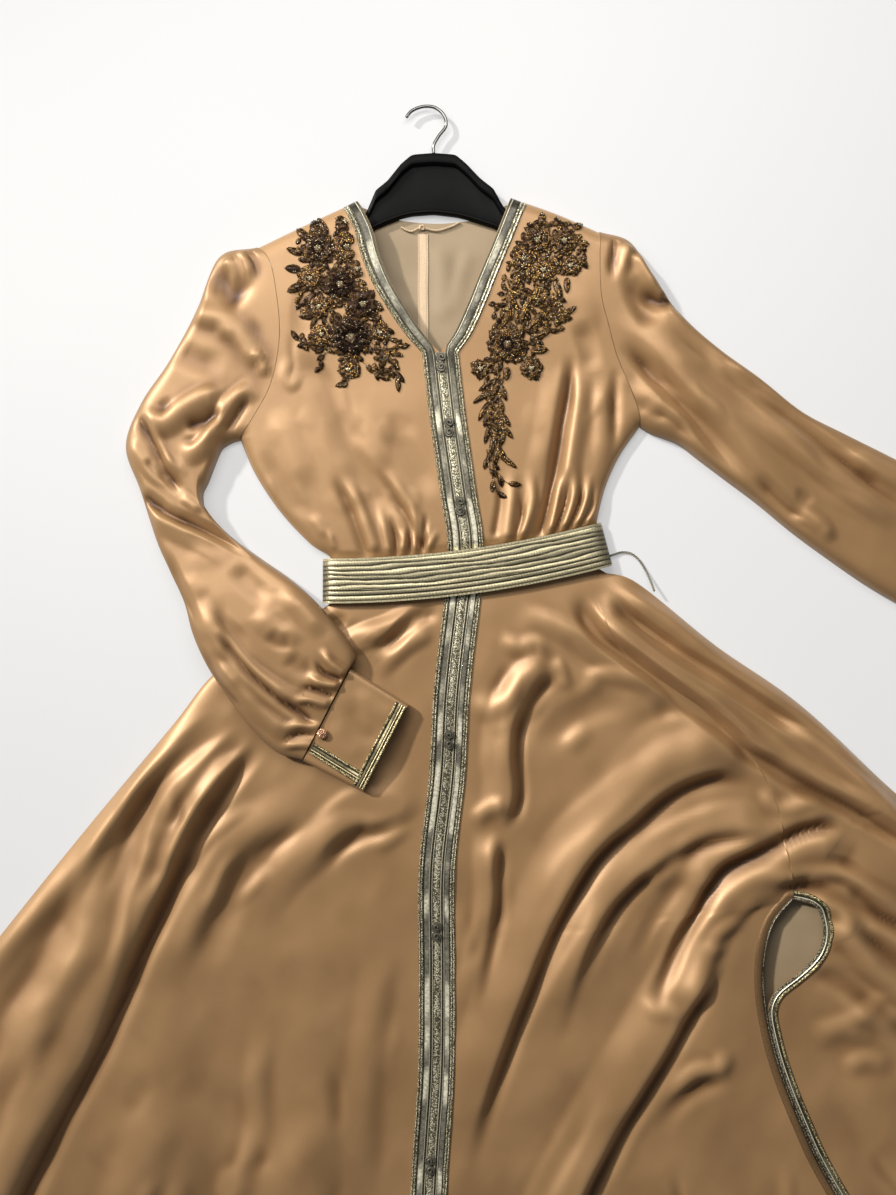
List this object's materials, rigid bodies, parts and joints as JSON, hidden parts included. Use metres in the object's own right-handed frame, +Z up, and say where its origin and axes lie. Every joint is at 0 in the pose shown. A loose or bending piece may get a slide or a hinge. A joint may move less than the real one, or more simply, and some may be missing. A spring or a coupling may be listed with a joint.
{
  "type": "moroccan kaftan laid flat on its hanger",
  "caption": "Long satin kaftan with braided centre front, beaded shoulders, ribbed belt and cuffs, laid flat face up with a hanger in its shoulders.",
  "frame": {"origin": "on the floor under the middle of the waist, on the belt's flat underside", "axes": "+X to the wearer's left, +Y from the hem towards the shoulders and the hanger's hook, +Z up from the floor through the thin direction"},
  "size_m": [1.5596, 1.6213, 0.0366],
  "materials": {
    "satin": "glossy satin",
    "satin_inside": "matt satin reverse",
    "metallic_braid": "woven metallic braid",
    "belt_braid": "ribbed metallic braid",
    "bronze_beads": "sequins and beads",
    "rose_beads": "polished beads",
    "black_plastic": "satin moulded plastic",
    "dark_chrome": "polished steel wire",
    "cream_tape": "narrow woven tape"
  },
  "bodies": {
    "root": {"skirt_front_left": "satin", "skirt_front_right": "satin", "skirt_back_turn": "satin", "skirt_back": "satin_inside", "bodice_front_left": "satin", "bodice_front_right": "satin", "bodice_back": "satin_inside", "sleeve_left": "satin", "sleeve_right": "satin", "cuff_left": "satin", "cuff_right": "satin", "cuff_braid_left": "metallic_braid", "cuff_braid_right": "metallic_braid", "cuff_knot_left": "rose_beads", "cuff_knot_right": "rose_beads", "braid_left": "metallic_braid", "braid_right": "metallic_braid", "button_band": "metallic_braid", "knot_1": "metallic_braid", "knot_2": "metallic_braid", "knot_3": "metallic_braid", "knot_4": "metallic_braid", "knot_5": "metallic_braid", "knot_6": "metallic_braid", "knot_7": "metallic_braid", "slit_braid_front": "metallic_braid", "slit_braid_side": "metallic_braid", "belt": "belt_braid", "belt_cord": "metallic_braid", "applique_left": "bronze_beads", "applique_right": "bronze_beads", "hanger_body": "black_plastic", "hanger_hook": "dark_chrome", "back_seam_tape": "cream_tape", "hanging_loop": "cream_tape"}
  },
  "joints": []
}
